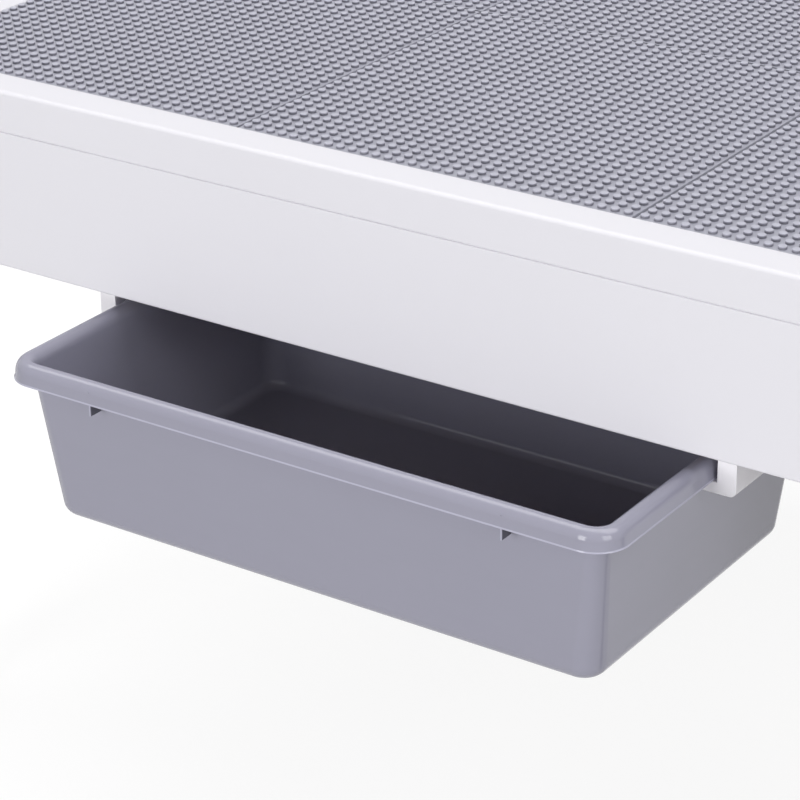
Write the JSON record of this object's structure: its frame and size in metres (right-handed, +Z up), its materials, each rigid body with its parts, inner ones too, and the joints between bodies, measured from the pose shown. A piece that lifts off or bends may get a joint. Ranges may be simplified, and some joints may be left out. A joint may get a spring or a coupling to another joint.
{
  "type": "kids activity table",
  "caption": "Low rectangular play table: studded plates inside a raised frame, square legs, and shallow tray bins that slide on lipped rails under the long sides.",
  "frame": {"origin": "on the floor under the middle of the table, with both bins drawn out alike", "axes": "+X along the long side to the right seen from the front, +Y from front to back, +Z up"},
  "size_m": [0.823, 0.7498, 0.4413],
  "materials": {
    "white_paint": "satin white paint on board",
    "bare_board": "bare board and softwood",
    "zinc_steel": "zinc plated",
    "glide_plastic": "moulded, matt",
    "brick_plastic": "moulded, low gloss",
    "bin_plastic": "moulded, semi-gloss"
  },
  "bodies": {
    "table": {"trim_front": "white_paint", "trim_back": "white_paint", "trim_left": "white_paint", "trim_right": "white_paint", "apron_front": "white_paint", "apron_back": "white_paint", "apron_left": "white_paint", "apron_right": "white_paint", "trim_dowels": "bare_board", "leg_front_left": "white_paint", "leg_front_right": "white_paint", "leg_back_left": "white_paint", "leg_back_right": "white_paint", "glide_front_left": "glide_plastic", "glide_front_right": "glide_plastic", "glide_back_left": "glide_plastic", "glide_back_right": "glide_plastic", "bracket_front_left": "zinc_steel", "bracket_front_right": "zinc_steel", "bracket_back_left": "zinc_steel", "bracket_back_right": "zinc_steel", "leg_bolts": "zinc_steel", "leg_washers": "zinc_steel", "leg_nuts": "zinc_steel", "bracket_screws": "zinc_steel", "ledger_front": "bare_board", "ledger_back": "bare_board", "ledger_left": "bare_board", "ledger_right": "bare_board", "ledger_screws": "zinc_steel", "bearer_left": "white_paint", "bearer_right": "white_paint", "bearer_dowels": "bare_board", "deck_batten": "bare_board", "batten_dowels": "bare_board", "rail_left": "white_paint", "rail_right": "white_paint", "rail_screws": "zinc_steel", "rail_stop_left": "bare_board", "rail_stop_right": "bare_board", "stop_screws": "zinc_steel", "deck_board": "bare_board", "brick_plate_front_left": "brick_plastic", "brick_plate_front_centre": "brick_plastic", "brick_plate_front_right": "brick_plastic", "brick_plate_back_left": "brick_plastic", "brick_plate_back_centre": "brick_plastic", "brick_plate_back_right": "brick_plastic"},
    "front_bin": {"front_bin": "bin_plastic"},
    "back_bin": {"back_bin": "bin_plastic"}
  },
  "joints": [
    {"name": "front_bin_slide", "type": "slide", "parent": "table", "child": "front_bin", "axis": [0, -1, 0], "range_m": [-0.0924, 0.0876]},
    {"name": "back_bin_slide", "type": "slide", "parent": "table", "child": "back_bin", "axis": [0, 1, 0], "range_m": [-0.0924, 0.0876]}
  ]
}
